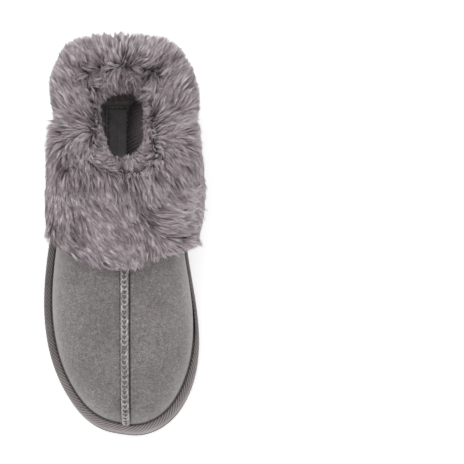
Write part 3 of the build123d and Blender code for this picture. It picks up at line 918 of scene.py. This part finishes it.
# ---------------------------------------------------------------- the insole
INSOLE_CROWN = 1.5                      # how much the padded insole swells over its CAD plate
BORDER = 4.2                            # from its edge to its stitched line
HEEL_STRIP_Y, HEEL_STRIP_RISE = 94.0, 0.9  # behind this it is faced with thicker fleece
# The leatherette patch under the heel.
PATCH = [(-12.2, 36.0), (4.8, 36.0), (4.8, 93.4), (-12.2, 93.4)]
PATCH_BORDER = 2.1


def pad_rings(edge, spine, profile):
    """Rings from a plan outline: each inset and height of the profile, then on to the spine."""
    rings = [np.column_stack([moved_in(edge, inset), np.full(len(edge), height)])
             for inset, height in profile]
    last = rings[-1]
    for share in np.linspace(0.1, 1.0, 12):
        flat = last[:, :2] * (1 - share) + spine * share
        rings.append(np.column_stack([flat, last[:, 2] + 0.15 * math.sin(share * math.pi / 2)]))
    return np.array(rings)


def stitches_along(line, height):
    """Short arched threads along a closed plan line, at a height that depends on y."""
    line = along(line, 3.2, True)
    arch = 0.3 * np.sin(np.linspace(0, math.pi, 5))
    parts = []
    for point, way in zip(line, unit(np.roll(line, -1, axis=0) - line)):
        spots = point + way * np.linspace(0, 2.1, 5)[:, None]
        parts.append(thread(np.column_stack([spots, height(point[1]) + arch]), 0.28, 5))
    return parts


def make_patch(top, leatherette):
    """The patch on the insole, creased along its stitches; gives its edge."""
    corners = np.array(PATCH)
    edge = smoothed(along(corners, 0.8, True), 5, True)
    spine = np.column_stack([np.full(len(edge), corners[:, 0].mean()),
                             np.clip(edge[:, 1], corners[0, 1] + 7, corners[2, 1] - 7)])
    profile = [(0.2, -0.8), (0.0, 0.2), (0.25, 0.6), (0.8, 0.7), (1.7, 0.65), (PATCH_BORDER, 0.2),
               (2.5, 0.65), (4.0, 0.75)]
    rings = pad_rings(edge, spine, [(inset, top + height) for inset, height in profile])
    add_piece("insole_patch", joined("patch", [swept(rings)]), leatherette,
              ["insole_sock"])
    return edge


def make_insole():
    low, high = [np.array(c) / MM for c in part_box("insole_sock")]
    edge = smoothed(along(outline_of(["insole_sock"], (low[2] + high[2]) / 2), 1.5, True), 4, True)
    spine = np.column_stack([np.full(len(edge), 2.4), np.clip(edge[:, 1], low[1] + 34, high[1] - 32)])
    profile = [(0.25, low[2] + 0.1)]
    for inset in (0.1, 0.3, 0.8, 1.6, 2.6, 3.5, 4.0, BORDER, 4.5, 5.0, 6.2, 8.0, 10.5):
        crease = 0.75 * math.exp(-((inset - BORDER) / 0.45) ** 2)
        profile.append((inset, high[2] - 0.1 + INSOLE_CROWN * ease(inset / 9) - crease))
    rings = pad_rings(edge, spine, profile)
    rings[1:, :, 2] += HEEL_STRIP_RISE * ease((rings[1:, :, 1] - HEEL_STRIP_Y) / 1.2)
    leatherette = insole_material()
    pad = add_piece("padded_insole", joined("insole", [swept(rings)]), leatherette,
                    ["insole_sock"])
    top = high[2] + INSOLE_CROWN + 0.05
    patch_edge = make_patch(top, leatherette)

    border = high[2] + INSOLE_CROWN * ease(BORDER / 9) - 0.55
    stitches = stitches_along(moved_in(edge, BORDER), lambda y: border + HEEL_STRIP_RISE * ease(
        (y - HEEL_STRIP_Y) / 1.2))
    stitches += stitches_along(moved_in(patch_edge, PATCH_BORDER), lambda y: top + 0.35)
    add_piece("insole_stitches", joined("insole_stitches", stitches),
              plain_material("insole_thread", srgb(70, 66, 67), srgb(54, 51, 52), 0.7),
              ["insole_sock"])


# The lining's fold: it hangs from the medial wall and ends on the insole, as (x, z) from the top.
FOLD_SECTION = [(21.0, 58.0), (16.5, 52.0), (12.0, 44.0), (8.0, 35.0), (5.2, 28.0)]
FOLD_ENDS = (44.0, 93.0)
FOLD_RIB = 2.6


def make_lining_fold():
    section = smoothed(along(np.array(FOLD_SECTION), 0.9), 8)
    ways = unit(np.gradient(section, axis=0))
    normal = np.stack([-ways[:, 1], ways[:, 0]], axis=1)
    if normal[0, 0] > 0:
        normal = -normal
    stations = np.arange(FOLD_ENDS[0], FOLD_ENDS[1], 0.4)
    rings = []
    for y in stations:
        share = (y - stations[0]) / (stations[-1] - stations[0])
        sag = 1.6 * math.sin(math.pi * share)
        rib = 0.35 * math.sin(2 * math.pi * y / FOLD_RIB)
        face = section + normal * (1.1 + rib) + np.array([-sag, 0])
        back = section - normal * 0.9 + np.array([-sag * 0.6, 0])
        ring = np.vstack([face, back[::-1]])
        rings.append(np.column_stack([ring[:, 0], np.full(len(ring), y), ring[:, 1]]))
    mesh = joined("lining_fold", [swept(np.array(rings))])
    fleece = plain_material("lining_fleece_fold", srgb(128, 118, 121), srgb(98, 90, 93), 0.95, 700.0, 0.5)
    piece = add_piece("lining_fold_medial", mesh, fleece, [])


make_seam()
make_band()
make_insole()
make_lining_fold()


# ---------------------------------------------------------------- the CAD nodes' materials
def dress(names, material):
    for name in names:
        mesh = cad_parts[name].data
        mesh.materials.clear()
        mesh.materials.append(material)


dress(VAMPS + QUARTERS,
      suede_material("suede", srgb(121, 116, 116), srgb(103, 98, 98), srgb(136, 131, 131)))
rubber = rubber_material()
make_rim(rubber)
dress(["outsole"], rubber)
dress(["platform"], plain_material("platform_foam", srgb(116, 106, 104), srgb(98, 89, 88), 0.85))
dress(LININGS, plain_material("lining", srgb(92, 84, 86), srgb(66, 58, 62), 0.95))
dress(["insole_board", "toe_puff", "heel_counter"],
      plain_material("board", srgb(150, 130, 104), srgb(120, 100, 80), 0.9))
dress(["insole_foam"], plain_material("cushion_foam", srgb(206, 202, 190), srgb(190, 184, 170), 0.95))


# ---------------------------------------------------------------- floor, light and camera
FLOOR_GLOW = 0.35                       # a lit table, so that hardly any shadow shows round the slipper
SKY = 0.95                              # the white surroundings' strength
# Each light's name, place and size in metres, and power in watts.
LIGHTS = [("key", (-0.9, 0.7, 2.2), 1.4, 10.0), ("fill", (1.2, -0.9, 1.8), 1.8, 5.0)]
LIT = Vector((0, 0, 0.05))              # what they point at
TARGET = Vector((0.0738, 0, 0.035))     # what the camera looks at, beside the slipper
RAISED = 0.004                          # and how far up the picture from there


def studio():
    floor = new_object("floor", mesh_from("floor", [(-3, -3, 0), (3, -3, 0), (3, 3, 0), (-3, 3, 0)],
                                          [(0, 1, 2, 3)], smooth=False))
    paint = plain_material("floor", srgb(252, 252, 252), srgb(250, 250, 250), 0.9, 20.0, 0.0)
    glow = paint.node_tree.nodes["Principled BSDF"]
    glow.inputs["Emission Color"].default_value = (1, 1, 1, 1)
    glow.inputs["Emission Strength"].default_value = FLOOR_GLOW
    floor.data.materials.append(paint)
    world = bpy.data.worlds.new("studio")
    world.use_nodes = True
    sky = world.node_tree.nodes["Background"]
    sky.inputs["Color"].default_value = (1, 1, 1, 1)
    sky.inputs["Strength"].default_value = SKY
    bpy.context.scene.world = world
    for name, place, size, power in LIGHTS:
        light = bpy.data.lights.new(name, "AREA")
        light.shape, light.size, light.energy = "SQUARE", size, power
        lamp = new_object(name, light)
        lamp.location = place
        lamp.rotation_mode = "QUATERNION"
        lamp.rotation_quaternion = (LIT - Vector(place)).to_track_quat("-Z", "Y")


def camera():
    cam = bpy.data.objects.new("camera", bpy.data.cameras.new("camera"))
    bpy.context.scene.collection.objects.link(cam)
    cam.data.lens, cam.data.sensor_width = LENS, SENSOR
    away = FIELD / SENSOR * LENS
    up = Vector((0, math.sin(ELEVATION), math.cos(ELEVATION)))
    target = TARGET + up * RAISED
    back = Vector((0, -math.cos(ELEVATION), math.sin(ELEVATION)))
    cam.location = target + back * away
    cam.rotation_mode = "QUATERNION"
    cam.rotation_quaternion = (-back).to_track_quat("-Z", "Y")
    bpy.context.scene.camera = cam


studio()
camera()
scene = bpy.context.scene
scene.view_settings.view_transform = "Standard"
scene.view_settings.look = "None"
scene.view_settings.exposure = 0.0
